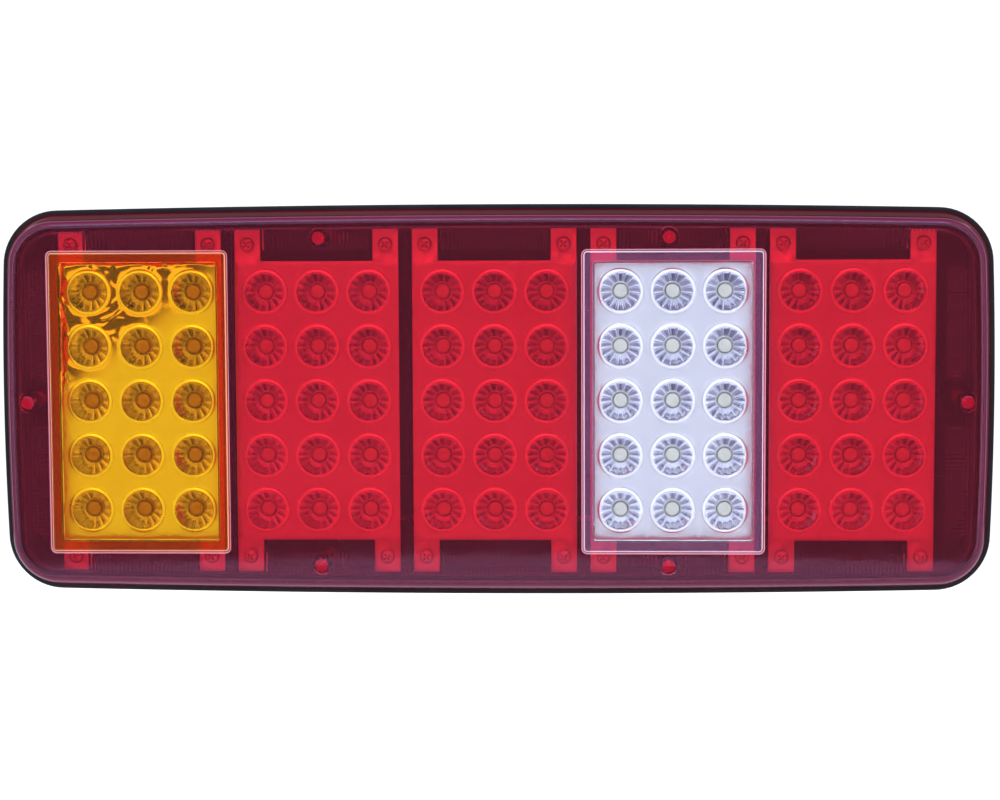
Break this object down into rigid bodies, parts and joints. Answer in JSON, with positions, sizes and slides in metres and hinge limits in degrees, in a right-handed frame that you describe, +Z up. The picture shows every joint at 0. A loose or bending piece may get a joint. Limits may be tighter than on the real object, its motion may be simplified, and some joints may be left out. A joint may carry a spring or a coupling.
{
  "type": "trailer tail light",
  "caption": "Rectangular five-chamber LED rear lamp for a truck or trailer: red lens with amber and clear windows, black tray housing, rear mounting studs.",
  "frame": {"origin": "centre of the flat band on the housing's back, between the two mounting studs", "axes": "+X along the lamp's length, to the viewer's right facing the lens; +Y out of the back, along the studs; +Z up"},
  "size_m": [0.35, 0.056, 0.138],
  "materials": {
    "housing_black": "moulded black, satin",
    "seal_rubber": "matt black foam rubber",
    "lens_red": "transparent deep red, polished",
    "window_amber": "transparent amber, polished",
    "window_clear": "water clear, polished",
    "reflector_chrome": "vacuum-metallised bright silver",
    "board_white": "white solder mask, with moulded LED lamps",
    "screw_steel": "zinc plated",
    "grommet_rubber": "matt black rubber",
    "wire_red": "red insulation",
    "terminal_green": "moulded green"
  },
  "bodies": {
    "root": {"rear_housing": "housing_black", "lens_seal": "seal_rubber", "red_lens": "lens_red", "amber_window": "window_amber", "clear_window": "window_clear", "reflector_1": "reflector_chrome", "led_board_1": "board_white", "reflector_screw_1_top_left": "screw_steel", "reflector_screw_1_top_right": "screw_steel", "reflector_screw_1_low_left": "screw_steel", "reflector_screw_1_low_right": "screw_steel", "reflector_2": "reflector_chrome", "led_board_2": "board_white", "reflector_screw_2_top_left": "screw_steel", "reflector_screw_2_top_right": "screw_steel", "reflector_screw_2_low_left": "screw_steel", "reflector_screw_2_low_right": "screw_steel", "reflector_3": "reflector_chrome", "led_board_3": "board_white", "reflector_screw_3_top_left": "screw_steel", "reflector_screw_3_top_right": "screw_steel", "reflector_screw_3_low_left": "screw_steel", "reflector_screw_3_low_right": "screw_steel", "reflector_4": "reflector_chrome", "led_board_4": "board_white", "reflector_screw_4_top_left": "screw_steel", "reflector_screw_4_top_right": "screw_steel", "reflector_screw_4_low_left": "screw_steel", "reflector_screw_4_low_right": "screw_steel", "reflector_5": "reflector_chrome", "led_board_5": "board_white", "reflector_screw_5_top_left": "screw_steel", "reflector_screw_5_top_right": "screw_steel", "reflector_screw_5_low_left": "screw_steel", "reflector_screw_5_low_right": "screw_steel", "lens_screw_top_left": "screw_steel", "lens_screw_top_right": "screw_steel", "lens_screw_low_left": "screw_steel", "lens_screw_low_right": "screw_steel", "lens_screw_end_left": "screw_steel", "lens_screw_end_right": "screw_steel", "mounting_stud_left": "screw_steel", "stud_washer_left": "screw_steel", "stud_nut_left": "screw_steel", "mounting_stud_right": "screw_steel", "stud_washer_right": "screw_steel", "stud_nut_right": "screw_steel", "cable_grommet": "grommet_rubber", "breather_plug": "grommet_rubber", "jumper_wire_1": "wire_red", "jumper_wire_2": "wire_red", "jumper_wire_3": "wire_red", "jumper_wire_4": "wire_red", "terminal_block": "terminal_green"}
  },
  "joints": []
}
